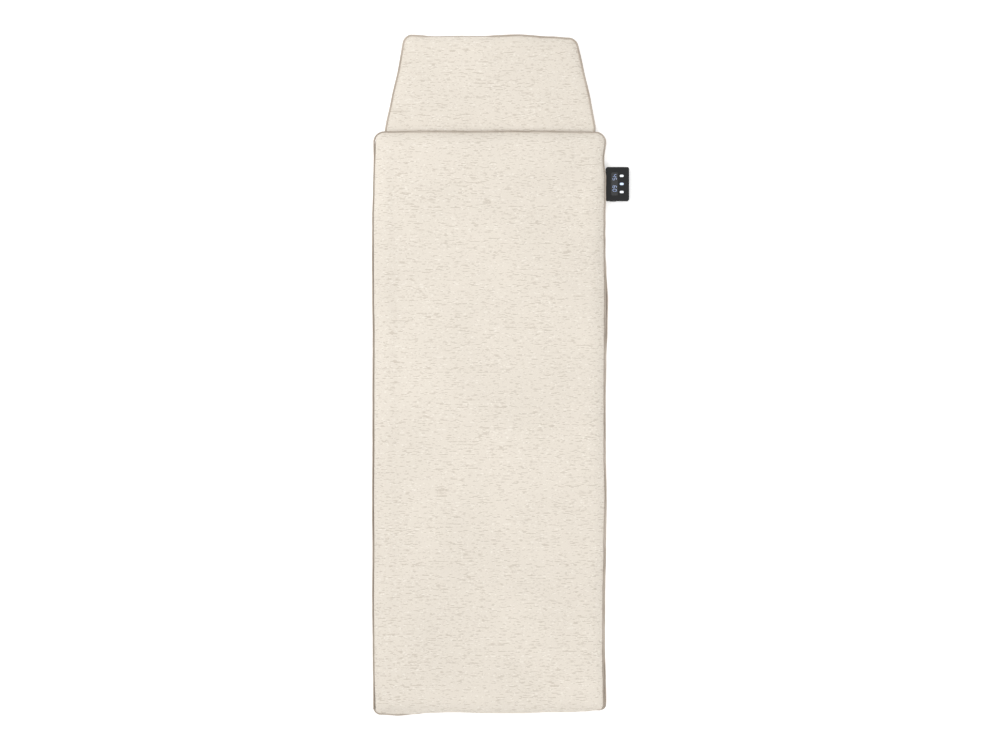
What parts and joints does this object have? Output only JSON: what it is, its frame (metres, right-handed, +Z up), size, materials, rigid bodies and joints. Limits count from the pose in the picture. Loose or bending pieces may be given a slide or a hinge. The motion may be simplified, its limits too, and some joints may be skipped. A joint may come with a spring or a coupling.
{
  "type": "infrared sauna blanket",
  "caption": "Quilted heated blanket bag with a fold-open cover, a narrower headrest flap and a plug-in hand controller at its edge.",
  "frame": {"origin": "on the underside of the base mat, midway across it and midway along its heated length", "axes": "+Z up, +Y towards the headrest, +X towards the controller's edge"},
  "size_m": [0.7924, 2.0996, 0.0453],
  "materials": {
    "fabric": "heathered woven polyester",
    "piping": "fabric covered cord",
    "lining": "wipe-clean coated fabric",
    "felt": "soft felt",
    "foil": "bright foil",
    "carrier": "fleece scrim",
    "heating_cord": "matt sheath",
    "lead": "satin sheath",
    "tape": "woven tape",
    "casing": "fine grain",
    "window": "polished",
    "key": "translucent satin",
    "silicone": "matt",
    "board": "satin solder resist",
    "component": "moulded",
    "contact": "gold flashed",
    "steel": "plated"
  },
  "bodies": {
    "base": {"base_outer_fabric": "fabric", "base_insulation_felt": "felt", "base_reflective_foil": "foil", "base_heating_carrier": "carrier", "base_heating_cord": "heating_cord", "base_comfort_pad": "felt", "base_inner_lining": "lining", "base_piping": "piping", "side_seam_piping": "piping", "side_fold_tape": "tape", "hook_tape_upper": "tape", "hook_tape_lower": "tape", "hook_tape_foot": "tape", "dock_housing": "casing", "dock_contact_strip": "contact", "dock_bezel": "casing", "base_supply_lead": "lead", "base_return_lead": "lead", "cover_feed_lead": "lead", "base_temperature_sensor": "component", "base_thermal_fuse": "steel"},
    "cover": {"cover_outer_fabric": "fabric", "cover_insulation_felt": "felt", "cover_reflective_foil": "foil", "cover_heating_carrier": "carrier", "cover_heating_cord": "heating_cord", "cover_comfort_pad": "felt", "cover_inner_lining": "lining", "cover_piping": "piping", "loop_tape_upper": "tape", "loop_tape_lower": "tape", "loop_tape_foot": "tape", "cover_supply_lead": "lead", "cover_return_lead": "lead", "cover_temperature_sensor": "component", "cover_thermal_fuse": "steel"},
    "headrest": {"headrest_bottom_fabric": "fabric", "headrest_wadding": "felt", "headrest_top_fabric": "fabric", "headrest_piping": "piping"},
    "controller": {"controller_top_shell": "casing", "controller_bottom_shell": "casing", "controller_window": "window", "display_module": "component", "controller_circuit_board": "board", "keypad_membrane": "silicone", "power_relay": "component", "control_chip": "component", "mains_fuse": "steel", "coupling_plug": "casing", "mains_inlet": "casing", "inlet_pin_left": "steel", "inlet_pin_right": "steel", "controller_screw_1": "steel", "controller_screw_2": "steel", "controller_screw_3": "steel", "controller_screw_4": "steel"},
    "power_button": {"power_button": "key"},
    "temperature_button": {"temperature_button": "key"},
    "timer_button": {"timer_button": "key"}
  },
  "joints": [
    {"name": "cover_fold", "type": "hinge", "parent": "base", "child": "cover", "pos_m": [-0.35735, 0, 0.02265], "axis": [0, -1, 0], "range_deg": [0, 179.9]},
    {"name": "headrest_fold", "type": "hinge", "parent": "base", "child": "headrest", "pos_m": [0, 0.905, 0.02], "axis": [1, 0, 0], "range_deg": [0, 110]},
    {"name": "controller_pull", "type": "slide", "parent": "base", "child": "controller", "axis": [1, 0, 0], "range_m": [0, 0.03]},
    {"name": "power_button_press", "type": "slide", "parent": "controller", "child": "power_button", "axis": [0, 0, -1], "range_m": [0, 0.0006], "stiffness_N_per_m": 800, "springref_m": -0.0005},
    {"name": "temperature_button_press", "type": "slide", "parent": "controller", "child": "temperature_button", "axis": [0, 0, -1], "range_m": [0, 0.0006], "stiffness_N_per_m": 800, "springref_m": -0.0005},
    {"name": "timer_button_press", "type": "slide", "parent": "controller", "child": "timer_button", "axis": [0, 0, -1], "range_m": [0, 0.0006], "stiffness_N_per_m": 800, "springref_m": -0.0005}
  ]
}
